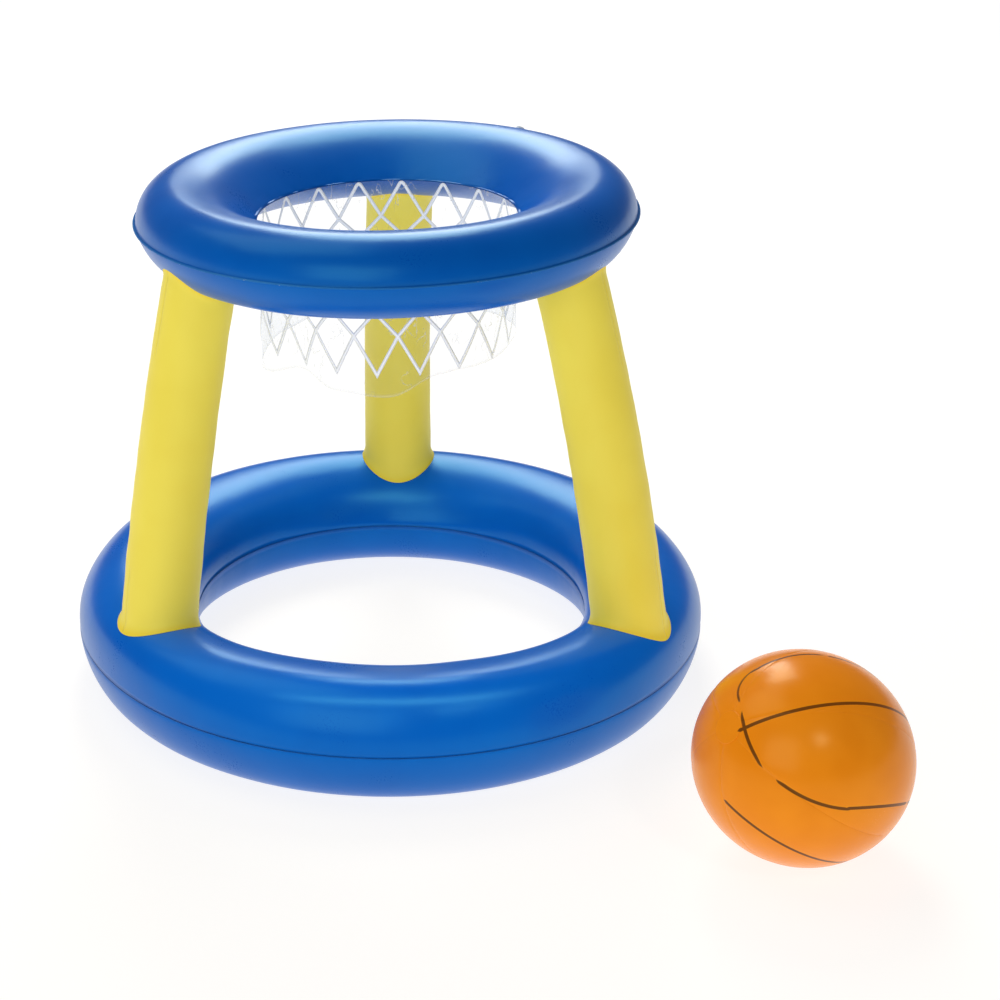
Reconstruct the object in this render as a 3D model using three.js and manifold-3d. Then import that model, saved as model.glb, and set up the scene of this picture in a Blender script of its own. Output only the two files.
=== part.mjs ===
// Poolside basketball hoop set: an inflatable floating hoop on three leaning legs, with its beach ball.
// Everything inflated is thin vinyl film, cut flat, welded edge to edge and blown up.
// Millimetres, +Z up. The set stands on z = 0, with the middle of its outline at the origin.
import * as THREE from 'three';
import { mergeVertices } from 'three/addons/utils/BufferGeometryUtils.js';
import Module from 'manifold-3d';

const wasm = await Module();
wasm.setup();

// Film, welds and clearances
const film = 0.3;
const weldGap = 0.1;
const seatGap = 0.3;
const cutOverrun = 4;
const mergeDistance = 0.0001;

// Base ring: two annular sheets welded at both edges. A shape share of 0.5 is round, 1 is pointed.
const baseOuterRadius = 305;
const baseCrownRadius = 260;
const baseInnerRadius = 189;
const baseHeight = 112.5;
const baseOuterShapeShare = 0.555;
const baseInnerShapeShare = 0.395;
const baseWeldWidth = 1.5;
const contactStripWidth = 16;
const airPortRadius = 5;

// Hoop ring, a smaller ring of the same make, which sits slightly askew on its soft legs
const hoopOuterRadius = 233;
const hoopCrownRadius = 200;
const hoopInnerRadius = 115;
const hoopHeight = 73.2;
const hoopOuterShapeShare = 0.735;
const hoopInnerShapeShare = 1.04;
const hoopWeldWidth = 2.5;
const hoopCentreHeight = 460.6;
const hoopShift = 4.4;
const hoopTiltDegrees = 1.73;
const hoopNodDegrees = 0.79;

// Legs: tapered tubes that lean in, bow out a little and flare where they are welded on
const legTubeFootRadius = 35;
const legTubeHeadRadius = 32.7;
const legFootRadius = 252;
const legHeadRadius = 190.5;
const legBow = 4.9;
const footFlare = 3.2;
const footFlareHeight = 11;
const headFlare = 1.6;
const headFlareHeight = 8;
const legs = [
  { name: 'rear_leg', azimuthDegrees: 90.7 },
  { name: 'front_left_leg', azimuthDegrees: 213.9 },
  { name: 'front_right_leg', azimuthDegrees: 333 },
];

// Net: a clear film skirt whose hem is welded between the hoop's sheets, with a printed lattice
const hemWidth = 4.5;
const skirtClearance = 0.5;
const skirtLength = 132;
const skirtBottomRadius = 116.5;
const skirtSway = 6.4;
const skirtWave = 2.2;
const skirtWaveCount = 7;
const skirtEdgeSlant = 7;
const skirtEdgeSlantDegrees = 225;
const skirtEdgeWave = 4;
const skirtEdgeWaveCount = 5;
const skirtEdgeWaveDegrees = 240;
const netStrandCount = 18;
const netTurnDegrees = 85.8;
const strandWidth = 2.3;
const printThickness = 0.3;
const printGap = 0.45;
const netRowDepths = [3, 35, 58.5, 83, 120];
const loopHalfWidth = 2.6;
const loopDrop = 4.2;

// Valves: a welded seat, a stem that pushes in flush, a check flap and a plug
const valveBore = 3;
const stemRadius = 4.6;
const stemRimRadius = 5.6;
const stemRimThickness = 1;
const stemTravel = 10;
const stemRunningGap = 0.3;
const seatNeckWall = 0.8;
const seatNeckHeight = 0.8;
const seatFlangeRadius = 7.4;
const seatFlangeThickness = 0.8;
const plugHeadRadius = 5.2;
const plugHeadThickness = 1.4;
const plugPinLength = 8;
const plugPinTaper = 0.4;
const plugTabLength = 5;
const plugTabWidth = 4;
const flapRadius = 4.4;
const flapThickness = 0.4;
const flapHingeShare = 0.72;

// Ball: six gores joined by inward fin welds, with a round patch over each pole
const ballEquatorRadius = 92;
const ballPoleRadius = 99.5;
const goreCount = 6;
const finDepth = 3;
const poleOpeningRadius = 11;
const polePatchRadius = 14;
const ballX = 363;
const ballY = -357.6;
const ballPoleAzimuthDegrees = -148.3;
const ballPoleElevationDegrees = 32.5;
const ballSeamDegrees = 15;

// Facets, and the steps of a search by halves
const bisections = 40;
const ringSegments = 36;
const sectionSteps = 8;
const legSegments = 20;
const legRows = 4;
const skirtRows = 5;
const valveSegments = 16;
const goreColumns = 4;
const goreRows = 9;
const baseValve = { sector: 14, step: 1 };
const hoopValve = { sector: 14, step: 2 };

const blueVinyl = () => new THREE.MeshStandardMaterial({ color: 0x0a5cbf, roughness: 0.32, metalness: 0 });
const yellowVinyl = () => new THREE.MeshStandardMaterial({ color: 0xf2e05a, roughness: 0.38, metalness: 0 });
const orangeVinyl = () => new THREE.MeshStandardMaterial({ color: 0xf5921f, roughness: 0.35, metalness: 0 });
const whiteInk = () => new THREE.MeshStandardMaterial({ color: 0xf2f4f6, roughness: 0.5, metalness: 0 });
const clearVinyl = () => new THREE.MeshStandardMaterial({
  color: 0xeaf2f6, roughness: 0.15, metalness: 0, transparent: true, opacity: 0.35,
});
const valveVinyl = () => new THREE.MeshStandardMaterial({ color: 0xdfe9ee, roughness: 0.3, metalness: 0 });

const radians = THREE.MathUtils.degToRad;

// A geometry with merged vertices, no collapsed triangles, and faces pointing out
function closed(geometry) {
  const bare = new THREE.BufferGeometry();
  bare.setAttribute('position', geometry.getAttribute('position'));
  bare.setIndex(geometry.index);
  const merged = mergeVertices(bare, mergeDistance);
  const corners = merged.index.array;
  const kept = [];
  for (let i = 0; i < corners.length; i += 3) {
    const [a, b, c] = [corners[i], corners[i + 1], corners[i + 2]];
    if (a !== b && b !== c && c !== a) kept.push([a, b, c]);
  }
  const at = (i) => new THREE.Vector3().fromBufferAttribute(merged.getAttribute('position'), i);
  let volume = 0;
  for (const [a, b, c] of kept) volume += at(a).dot(at(b).cross(at(c)));
  merged.setIndex((volume < 0 ? kept.map(([a, b, c]) => [a, c, b]) : kept).flat());
  return merged;
}

function toSolid(geometry) {
  const mesh = closed(geometry);
  return new wasm.Manifold(new wasm.Mesh({
    numProp: 3,
    vertProperties: new Float32Array(mesh.getAttribute('position').array),
    triVerts: new Uint32Array(mesh.index.array),
  }));
}

function fromSolid(solid) {
  const mesh = solid.getMesh();
  const geometry = new THREE.BufferGeometry();
  geometry.setAttribute('position', new THREE.BufferAttribute(mesh.vertProperties, 3));
  geometry.setIndex(new THREE.BufferAttribute(mesh.triVerts, 1));
  return geometry;
}

// A closed outline of [radius, height] pairs turned round the Z axis
function turned(outline, segments) {
  const points = outline.map(([r, z]) => new THREE.Vector2(r, z));
  const lathe = new THREE.LatheGeometry([...points, points[0]], segments);
  return lathe.rotateX(Math.PI / 2);
}

function named(name, geometry, material) {
  const mesh = new THREE.Mesh(closed(geometry), material);
  mesh.name = name;
  return mesh;
}

// A grid of vertex loops joined into a tube, with its two ends joined to each other or capped
function loft(loops, capPairs) {
  const size = loops[0].length;
  const index = [];
  const joins = capPairs ? loops.length - 1 : loops.length;
  for (let i = 0; i < joins; i++) {
    for (let j = 0; j < size; j++) {
      const a = i * size + j;
      const b = i * size + (j + 1) % size;
      const c = ((i + 1) % loops.length) * size + j;
      const d = ((i + 1) % loops.length) * size + (j + 1) % size;
      index.push(a, b, d, a, d, c);
    }
  }
  for (const [p, q, r, s] of capPairs ?? []) {
    const end = (loops.length - 1) * size;
    index.push(p, r, q, p, s, r, end + p, end + q, end + r, end + p, end + r, end + s);
  }
  return meshOf(loops.flat(), index);
}

function meshOf(points, index) {
  const geometry = new THREE.BufferGeometry();
  const numbers = points.flatMap((point) => point.toArray());
  geometry.setAttribute('position', new THREE.Float32BufferAttribute(numbers, 3));
  return geometry.setIndex(index);
}

// Ring sheets

const baseRing = {
  outer: baseOuterRadius, crown: baseCrownRadius, inner: baseInnerRadius, height: baseHeight,
  outerShare: baseOuterShapeShare, innerShare: baseInnerShapeShare, weld: baseWeldWidth,
  outerMate: 0, innerMate: 0,
};
const hoopRing = {
  outer: hoopOuterRadius, crown: hoopCrownRadius, inner: hoopInnerRadius, height: hoopHeight,
  outerShare: hoopOuterShapeShare, innerShare: hoopInnerShapeShare, weld: hoopWeldWidth,
  outerMate: weldGap / 2, innerMate: film / 2 + weldGap,
};

// Height of the sheet's mating face at a radius
function mateHeight(ring, radius) {
  const share = (radius - ring.inner) / (ring.outer - ring.inner);
  return ring.innerMate + (ring.outerMate - ring.innerMate) * share;
}

// The blown-up outside of one sheet, from the outer weld over the crown to the inner weld
function crownLine(ring, stripWidth) {
  const line = [];
  const rise = ring.height / 2 - film - mateHeight(ring, ring.crown);
  for (let i = 0; i <= sectionSteps; i++) {
    const turn = Math.PI / 2 - Math.PI * i / sectionSteps;
    const reach = (turn > 0 ? ring.outer - ring.crown : ring.crown - ring.inner) - ring.weld;
    const share = turn > 0 ? ring.outerShare : ring.innerShare;
    const atWeld = i === 0 || i === sectionSteps;
    const radius = ring.crown + reach * Math.sin(turn);
    const height = atWeld ? 0 : rise * Math.cos(turn) ** (2 * share);
    const base = film + mateHeight(ring, radius);
    const strip = i === sectionSteps / 2 ? stripWidth : 0;
    if (strip > 0) line.push([radius + strip / 2, base + height]);
    line.push([radius - strip / 2, base + height]);
  }
  return line;
}

function offsetLine(line, distance) {
  return line.map(([r, z], i) => {
    const [ra, za] = line[Math.max(i - 1, 0)];
    const [rb, zb] = line[Math.min(i + 1, line.length - 1)];
    const length = Math.hypot(rb - ra, zb - za);
    return [r + distance * (zb - za) / length, z + distance * (ra - rb) / length];
  });
}

function sheetOutline(ring, stripWidth) {
  const outside = crownLine(ring, stripWidth);
  const inside = offsetLine(outside, -film).slice(1, -1);
  const outerFoot = ring.outer - ring.weld - film;
  const innerFoot = ring.inner + ring.weld + film;
  return [
    [ring.outer, ring.outerMate],
    [ring.outer, film + ring.outerMate],
    ...outside,
    [ring.inner, film + ring.innerMate],
    [ring.inner, ring.innerMate],
    [innerFoot, mateHeight(ring, innerFoot)],
    ...inside.reverse(),
    [outerFoot, mateHeight(ring, outerFoot)],
  ];
}

const mirrored = (outline) => outline.map(([r, z]) => [r, -z]);

// Height of the ring's faceted outside above or below its weld plane, at a point in the ring's own frame
function ringSurface(ring, x, y) {
  const sector = 2 * Math.PI / ringSegments;
  const azimuth = Math.atan2(y, x);
  const middle = (Math.floor(azimuth / sector) + 0.5) * sector;
  const radius = (x * Math.cos(middle) + y * Math.sin(middle)) / Math.cos(sector / 2);
  const line = crownLine(ring, 0);
  for (let i = 0; i + 1 < line.length; i++) {
    const [ra, za] = line[i];
    const [rb, zb] = line[i + 1];
    if (radius <= ra && radius >= rb) return zb + (za - zb) * (radius - rb) / (ra - rb);
  }
  return 0;
}

// The whole outside of a ring, grown by the seat gap, which trims what is welded onto it
function ringCutter(ring) {
  const grown = offsetLine(crownLine(ring, 0), seatGap).slice(1, -1);
  const outerEdge = [ring.outer + seatGap, 0];
  const innerEdge = [ring.inner - seatGap, 0];
  return turned([outerEdge, ...grown, innerEdge, ...mirrored(grown).reverse()], ringSegments);
}

// A frame standing on the middle of one facet of a ring's upper sheet
function facetFrame(ring, { sector, step }) {
  const line = crownLine(ring, 0);
  const apothem = Math.cos(Math.PI / ringSegments);
  const [ra, za] = line[step];
  const [rb, zb] = line[step + 1];
  const azimuth = (sector + 0.5) * 2 * Math.PI / ringSegments - Math.PI / 2;
  const outward = new THREE.Vector3(Math.cos(azimuth), Math.sin(azimuth), 0);
  const up = new THREE.Vector3(0, 0, 1);
  const normal = outward.clone().multiplyScalar(zb - za).addScaledVector(up, (ra - rb) * apothem);
  const frame = new THREE.Group();
  frame.position.copy(outward).multiplyScalar((ra + rb) / 2 * apothem).addScaledVector(up, (za + zb) / 2);
  frame.quaternion.setFromUnitVectors(up, normal.normalize());
  frame.updateMatrix();
  return frame;
}

// Valves, modelled standing on +Z with the film's outside at z = 0

const neckRadius = stemRadius + stemRunningGap + seatNeckWall;
const valveHoleRadius = neckRadius + seatGap;
const flangeTop = -(film + seatGap);
const flangeBottom = flangeTop - seatFlangeThickness;
const rimBottom = seatNeckHeight + seatGap;
const rimTop = rimBottom + stemRimThickness;
const stopTop = flangeBottom - seatGap - stemTravel;
const stopBottom = stopTop - stemRimThickness;
const plugHeadBottom = rimTop + seatGap;
const plugHeadTop = plugHeadBottom + plugHeadThickness;
const plugPinRadius = valveBore - seatGap;

function valveSeat() {
  const bore = stemRadius + stemRunningGap;
  return turned([
    [bore, seatNeckHeight], [neckRadius, seatNeckHeight], [neckRadius, flangeTop],
    [seatFlangeRadius, flangeTop], [seatFlangeRadius, flangeBottom], [bore, flangeBottom],
  ], valveSegments);
}

function valveStem() {
  return turned([
    [valveBore, rimTop], [stemRimRadius, rimTop], [stemRimRadius, rimBottom], [stemRadius, rimBottom],
    [stemRadius, stopTop], [stemRimRadius, stopTop], [stemRimRadius, stopBottom], [valveBore, stopBottom],
  ], valveSegments);
}

// A thin round flap with one straight edge, where it hinges on the stem's inner end
function valveFlap() {
  const shape = new THREE.Shape();
  const half = Math.acos(flapHingeShare);
  shape.absarc(0, 0, flapRadius, half, 2 * Math.PI - half, false);
  shape.closePath();
  const settings = { depth: flapThickness, bevelEnabled: false, curveSegments: valveSegments };
  return new THREE.ExtrudeGeometry(shape, settings).translate(0, 0, stopBottom - seatGap - flapThickness);
}

function valvePlug() {
  const pinEnd = plugHeadBottom - plugPinLength;
  const pin = toSolid(turned([
    [0, plugHeadTop], [plugHeadRadius, plugHeadTop], [plugHeadRadius, plugHeadBottom],
    [plugPinRadius, plugHeadBottom], [plugPinRadius - plugPinTaper, pinEnd], [0, pinEnd],
  ], valveSegments));
  const tab = new THREE.BoxGeometry(plugHeadRadius + plugTabLength, plugTabWidth, plugHeadThickness);
  tab.translate((plugHeadRadius + plugTabLength) / 2, 0, (plugHeadTop + plugHeadBottom) / 2);
  return fromSolid(pin.add(toSolid(indexed(tab))));
}

function indexed(geometry) {
  if (geometry.index) return geometry;
  const count = geometry.getAttribute('position').count;
  return geometry.setIndex([...Array(count).keys()]);
}

function addValve(frame, name) {
  frame.add(named(`${name}_valve_seat`, valveSeat(), valveVinyl()));
  frame.add(named(`${name}_valve_stem`, valveStem(), valveVinyl()));
  frame.add(named(`${name}_valve_flap`, indexed(valveFlap()), valveVinyl()));
  frame.add(named(`${name}_valve_plug`, valvePlug(), valveVinyl()));
}

// A drill along the frame's axis, through the film only
function drill(frame, radius) {
  const tool = new THREE.CylinderGeometry(radius, radius, 2 * cutOverrun, valveSegments);
  return toSolid(tool.rotateX(Math.PI / 2).applyMatrix4(frame.matrix));
}

// Legs

const hoopGroup = new THREE.Group();
hoopGroup.position.set(-hoopShift, 0, hoopCentreHeight);
hoopGroup.rotation.set(-radians(hoopNodDegrees), -radians(hoopTiltDegrees), 0);
hoopGroup.updateMatrix();
const intoHoop = hoopGroup.matrix.clone().invert();

// Centre line of a leg: share 0 at the base ring's crown height, 1 at the hoop's underside
function legFrame(azimuth, share) {
  const outward = new THREE.Vector3(Math.cos(azimuth), Math.sin(azimuth), 0);
  const up = new THREE.Vector3(0, 0, 1);
  const rise = hoopCentreHeight - hoopHeight / 2 - baseHeight;
  const lean = legHeadRadius - legFootRadius;
  const radius = legFootRadius + lean * share + 4 * legBow * share * (1 - share);
  const slope = lean + 4 * legBow * (1 - 2 * share);
  const centre = outward.clone().multiplyScalar(radius).addScaledVector(up, baseHeight + rise * share);
  centre.x -= hoopShift * share;
  const along = outward.clone().multiplyScalar(slope).addScaledVector(up, rise).normalize();
  const side = new THREE.Vector3().crossVectors(up, outward);
  const front = new THREE.Vector3().crossVectors(side, along);
  return { centre, side, front, rise };
}

// A point on the tapered tube, moved outwards by a distance
function legPoint(azimuth, turn, share, distance) {
  const { centre, side, front } = legFrame(azimuth, share);
  const radius = THREE.MathUtils.lerp(legTubeFootRadius, legTubeHeadRadius, share) + distance;
  centre.addScaledVector(front, radius * Math.cos(turn));
  return centre.addScaledVector(side, radius * Math.sin(turn));
}

// The share at which a line along the leg meets the base ring below it or the hoop ring above it
function seatShare(azimuth, turn, distance, seat) {
  let [low, high] = seat.shares;
  for (let i = 0; i < bisections; i++) {
    const share = (low + high) / 2;
    const outside = seat.height(legPoint(azimuth, turn, share, distance)) > 0;
    if (outside === (seat === onBase)) high = share;
    else low = share;
  }
  return (low + high) / 2;
}

// Height above the base ring, and depth below the hoop ring, with the shares between which each seat lies
const onBase = {
  shares: [-0.5, 0.5],
  height: (point) => point.z - baseHeight / 2 - ringSurface(baseRing, point.x, point.y),
};
const underHoop = {
  shares: [0.5, 1.5],
  height: (point) => {
    const local = point.clone().applyMatrix4(intoHoop);
    return -local.z - ringSurface(hoopRing, local.x, local.y);
  },
};

function legWall(azimuth, inset) {
  const loops = [];
  const { rise } = legFrame(azimuth, 0);
  const footShares = [0, 0.35, 0.7, 1];
  const headShares = [1, 0.5, 0];
  const turns = Array.from({ length: legSegments }, (_, j) => 2 * Math.PI * j / legSegments);
  const feet = turns.map((turn) => seatShare(azimuth, turn, footFlare - inset, onBase));
  const heads = turns.map((turn) => seatShare(azimuth, turn, headFlare - inset, underHoop));
  const addLoop = (shareAt, flare) => {
    loops.push(turns.map((turn, j) => legPoint(azimuth, turn, shareAt(j), flare - inset)));
  };
  addLoop((j) => feet[j] - cutOverrun / rise, footFlare);
  for (const part of footShares) {
    addLoop((j) => feet[j] + part * footFlareHeight / rise, footFlare * (1 - part) ** 2);
  }
  for (let i = 1; i < legRows; i++) {
    addLoop((j) => {
      const low = feet[j] + footFlareHeight / rise;
      const high = heads[j] - headFlareHeight / rise;
      return low + (high - low) * i / legRows;
    }, 0);
  }
  for (const part of headShares) {
    addLoop((j) => heads[j] - part * headFlareHeight / rise, headFlare * (1 - part) ** 2);
  }
  addLoop((j) => heads[j] + cutOverrun / rise, headFlare);
  return loops;
}

// Net skirt and its printed lattice, in the hoop's frame

const skirtTopRadius = hoopInnerRadius - skirtClearance;
const hemHalf = film / 2;

// Outside radius of the hanging film at an azimuth and a depth below the weld
function skirtRadius(azimuth, depth) {
  const share = Math.max(0, depth / skirtLength);
  const flare = (skirtBottomRadius - skirtTopRadius) * share;
  const sway = skirtSway * Math.sin(azimuth) * share;
  const wave = skirtWave * share ** 2 * Math.sin(skirtWaveCount * azimuth);
  return skirtTopRadius + flare + sway + wave;
}

// The free edge is cut on a slant and waves a little
function skirtDepth(azimuth) {
  const slant = skirtEdgeSlant * Math.cos(azimuth - radians(skirtEdgeSlantDegrees));
  const wave = Math.cos(skirtEdgeWaveCount * azimuth - radians(skirtEdgeWaveDegrees));
  return skirtLength + slant + skirtEdgeWave * wave;
}

function polar(radius, azimuth, z) {
  return new THREE.Vector3(radius * Math.cos(azimuth), radius * Math.sin(azimuth), z);
}

function skirtFilm() {
  const columns = 2 * netStrandCount;
  const hemRadius = hoopInnerRadius + hemWidth;
  const loops = [];
  for (let i = 0; i < columns; i++) {
    const azimuth = radians(netTurnDegrees) + 2 * Math.PI * i / columns;
    const rows = Array.from({ length: skirtRows }, (_, k) => (k + 1) / skirtRows * skirtDepth(azimuth));
    const wall = rows.map((depth) => polar(skirtRadius(azimuth, depth), azimuth, -depth));
    const inner = rows.map((depth) => polar(skirtRadius(azimuth, depth) - film, azimuth, -depth));
    loops.push([
      polar(hemRadius, azimuth, hemHalf), polar(skirtTopRadius - film, azimuth, hemHalf), ...inner,
      ...wall.reverse(), polar(skirtTopRadius, azimuth, -hemHalf), polar(hemRadius, azimuth, -hemHalf),
    ]);
  }
  return loft(loops, null);
}

// Lattice plan: knots laid out on the unrolled skirt and the strands that join them
function latticePlan() {
  const knots = new Map();
  const halfStep = Math.PI / netStrandCount * skirtTopRadius;
  const columns = 2 * netStrandCount;
  const add = (key, across, depth) => knots.set(key, { across, depth, links: [] });
  const link = (a, b) => {
    knots.get(a).links.push(b);
    knots.get(b).links.push(a);
  };
  const wrap = (column) => (column + columns) % columns;
  for (let column = 0; column < columns; column++) {
    netRowDepths.forEach((depth, row) => {
      if (column % 2 === row % 2) add(`${column},${row}`, column * halfStep, depth);
    });
  }
  for (let column = 0; column < columns; column += 2) {
    const top = netRowDepths[0];
    for (const side of [-1, 1]) {
      const shoulder = `shoulder ${column},${side}`;
      add(shoulder, column * halfStep + side * loopHalfWidth, top + loopDrop);
      link(`${column},0`, shoulder);
      const next = `${wrap(column + side)},1`;
      strand(shoulder, next, column * halfStep + side * halfStep);
    }
  }
  for (let row = 1; row + 1 < netRowDepths.length; row++) {
    for (let column = row % 2; column < columns; column += 2) {
      for (const side of [-1, 1]) {
        strand(`${column},${row}`, `${wrap(column + side)},${row + 1}`, (column + side) * halfStep);
      }
    }
  }
  return knots;

  // Each strand gets a knot halfway, so that it follows the round film
  function strand(from, to, toAcross) {
    const start = knots.get(from);
    const end = knots.get(to);
    const middle = `${from} to ${to}`;
    add(middle, (start.across + toAcross) / 2, (start.depth + end.depth) / 2);
    link(from, middle);
    link(middle, to);
  }
}

// One connected lattice of flat strands, built as a band of printThickness round the skirt
function netLattice() {
  const knots = latticePlan();
  const round = 2 * Math.PI * skirtTopRadius;
  const positions = [];
  const index = [];
  const unwrapped = (delta) => delta - round * Math.round(delta / round);
  const place = (across, depth, height) => {
    const azimuth = radians(netTurnDegrees) + across / skirtTopRadius;
    positions.push(polar(skirtRadius(azimuth, depth) + height, azimuth, -depth));
    return positions.length - 1;
  };
  for (const knot of knots.values()) {
    const ways = knot.links.map((key) => {
      const other = knots.get(key);
      return { key, angle: Math.atan2(knot.depth - other.depth, unwrapped(other.across - knot.across)) };
    }).sort((a, b) => a.angle - b.angle);
    knot.corners = ways.map((way, i) => {
      const next = ways[(i + 1) % ways.length];
      const spread = (next.angle - way.angle + 2 * Math.PI) % (2 * Math.PI);
      const angle = way.angle + spread / 2;
      const reach = strandWidth / 2 / Math.sin(spread / 2);
      const across = knot.across + reach * Math.cos(angle);
      const depth = knot.depth - reach * Math.sin(angle);
      return { low: place(across, depth, printGap), high: place(across, depth, printGap + printThickness) };
    });
    knot.ways = ways.map((way) => way.key);
  }
  const quad = (a, b, c, d) => index.push(a, b, c, a, c, d);
  for (const [key, knot] of knots) {
    if (knot.corners.length === 4) {
      const [a, b, c, d] = knot.corners;
      quad(a.high, b.high, c.high, d.high);
      quad(d.low, c.low, b.low, a.low);
    }
    knot.ways.forEach((otherKey, i) => {
      if (key > otherKey) return;
      const other = knots.get(otherKey);
      const j = other.ways.indexOf(key);
      const left = knot.corners[i];
      const right = knot.corners[(i - 1 + knot.corners.length) % knot.corners.length];
      const farRight = other.corners[j];
      const farLeft = other.corners[(j - 1 + other.corners.length) % other.corners.length];
      quad(right.high, farRight.high, farLeft.high, left.high);
      quad(left.low, farLeft.low, farRight.low, right.low);
      quad(left.high, farLeft.high, farLeft.low, left.low);
      quad(right.low, farRight.low, farRight.high, right.high);
    });
  }
  return meshOf(positions, index);
}

// Ball, modelled with its poles on Z

// A point at a polar angle on a gore, a share of the way to the seam, beside which it stops short
function gorePoint(inset, angle, share, fromSeam) {
  const radius = (ballEquatorRadius - inset) * Math.sin(angle);
  const halfWidth = Math.PI / goreCount - Math.asin(fromSeam / radius);
  return polar(radius, share * halfWidth, (ballPoleRadius - inset) * Math.cos(angle));
}

function ballGore() {
  const start = Math.asin(poleOpeningRadius / ballEquatorRadius);
  const filmSide = weldGap + film;
  const shares = Array.from({ length: goreColumns + 1 }, (_, k) => 2 * k / goreColumns - 1);
  const loops = [];
  for (let i = 0; i <= goreRows; i++) {
    const angle = start + (Math.PI - 2 * start) * i / goreRows;
    const across = (inset, fromSeam) => shares.map((share) => gorePoint(inset, angle, share, fromSeam));
    loops.push([
      ...across(0, weldGap),
      gorePoint(finDepth, angle, 1, weldGap), gorePoint(finDepth, angle, 1, filmSide),
      ...across(film, filmSide).reverse(),
      gorePoint(finDepth, angle, -1, filmSide), gorePoint(finDepth, angle, -1, weldGap),
    ]);
  }
  const last = goreColumns;
  const size = loops[0].length;
  const caps = [[last, last + 1, last + 2, last + 3], [0, size - 3, size - 2, size - 1]];
  for (let k = 0; k < goreColumns; k++) caps.push([k, k + 1, size - 4 - k, size - 3 - k]);
  return loft(loops, caps);
}

// The ball's outside over a pole, at a distance from the axis
function poleHeight(radius) {
  return ballPoleRadius * Math.sqrt(1 - (radius / ballEquatorRadius) ** 2);
}

// A patch welded over a pole: flat where the valve sits, with or without its hole
const poleFlatRadius = seatFlangeRadius + seatGap;
const poleFlatHeight = poleHeight(poleFlatRadius) + seatGap + film;

function polePatch(holeRadius) {
  const radii = [polePatchRadius, poleOpeningRadius, poleFlatRadius];
  const line = radii.map((radius) => [radius, poleHeight(radius)]);
  line.push([holeRadius, poleHeight(poleFlatRadius)]);
  const lifted = (lift) => line.map(([radius, height]) => [radius, height + lift]);
  return turned([...lifted(seatGap + film), ...lifted(seatGap).reverse()], valveSegments);
}

// Assembly

const set = new THREE.Group();

const base = new THREE.Group();
base.position.z = baseHeight / 2;
const baseValveFrame = facetFrame(baseRing, baseValve);
let upperBase = toSolid(turned(sheetOutline(baseRing, 0), ringSegments));
upperBase = upperBase.subtract(drill(baseValveFrame, valveHoleRadius));
for (const leg of legs) {
  const port = new THREE.Group();
  const azimuth = radians(leg.azimuthDegrees);
  port.position.copy(polar(baseCrownRadius, azimuth, baseHeight / 2));
  port.updateMatrix();
  upperBase = upperBase.subtract(drill(port, airPortRadius));
}
base.add(named('base_ring_upper_sheet', fromSolid(upperBase), blueVinyl()));
const lowerOutline = mirrored(sheetOutline(baseRing, contactStripWidth));
base.add(named('base_ring_lower_sheet', turned(lowerOutline, ringSegments), blueVinyl()));
addValve(baseValveFrame, 'base');
base.add(baseValveFrame);
set.add(base);

const hoopValveFrame = facetFrame(hoopRing, hoopValve);
const hoopSheet = sheetOutline(hoopRing, 0);
const upperHoop = toSolid(turned(hoopSheet, ringSegments)).subtract(drill(hoopValveFrame, valveHoleRadius));
hoopGroup.add(named('hoop_ring_upper_sheet', fromSolid(upperHoop), blueVinyl()));
hoopGroup.add(named('hoop_ring_lower_sheet', turned(mirrored(hoopSheet), ringSegments), blueVinyl()));
addValve(hoopValveFrame, 'hoop');
hoopGroup.add(hoopValveFrame);
hoopGroup.add(named('net_skirt', skirtFilm(), clearVinyl()));
hoopGroup.add(named('net_lattice', netLattice(), whiteInk()));
set.add(hoopGroup);

const baseCutter = toSolid(ringCutter(baseRing).translate(0, 0, baseHeight / 2));
const hoopCutter = toSolid(ringCutter(hoopRing).applyMatrix4(hoopGroup.matrix));
for (const leg of legs) {
  const azimuth = radians(leg.azimuthDegrees);
  const wall = loft([...legWall(azimuth, 0), ...legWall(azimuth, film).reverse()], null);
  const trimmed = toSolid(wall).subtract(baseCutter).subtract(hoopCutter);
  set.add(named(leg.name, fromSolid(trimmed), yellowVinyl()));
}

const ball = new THREE.Group();
const ballBody = new THREE.Group();
for (let i = 0; i < goreCount; i++) {
  const gore = named(`ball_gore_${i + 1}`, ballGore(), orangeVinyl());
  gore.rotation.z = radians(ballSeamDegrees) + (i + 0.5) * 2 * Math.PI / goreCount;
  ballBody.add(gore);
}
ballBody.add(named('ball_plain_pole_patch', polePatch(0), orangeVinyl()));
const valveEnd = new THREE.Group();
valveEnd.rotation.x = Math.PI;
valveEnd.add(named('ball_valve_pole_patch', polePatch(valveHoleRadius), orangeVinyl()));
const ballValveFrame = new THREE.Group();
ballValveFrame.position.z = poleFlatHeight;
addValve(ballValveFrame, 'ball');
valveEnd.add(ballValveFrame);
ballBody.add(valveEnd);
ballBody.rotation.y = Math.PI / 2 - radians(ballPoleElevationDegrees);
ball.add(ballBody);
ball.rotation.z = radians(ballPoleAzimuthDegrees);
ball.position.set(ballX, ballY, 0);
ball.position.z = -new THREE.Box3().setFromObject(ball, true).min.z;
set.add(ball);

const outline = new THREE.Box3().setFromObject(set, true);
set.position.set(-(outline.min.x + outline.max.x) / 2, -(outline.min.y + outline.max.y) / 2, 0);

export default set;
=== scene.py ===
# %% [markdown]
# # A pool basketball hoop, blown up from vinyl film
# The real set is flat plastic film, cut, welded along its edges and filled with air. The frame that this
# lesson loads holds each piece at its real size and place, with coarse facets. Here each piece gets its
# smooth skin, its welds and puckers, its print and its finish. Everything is in metres, with Z up.

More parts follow.
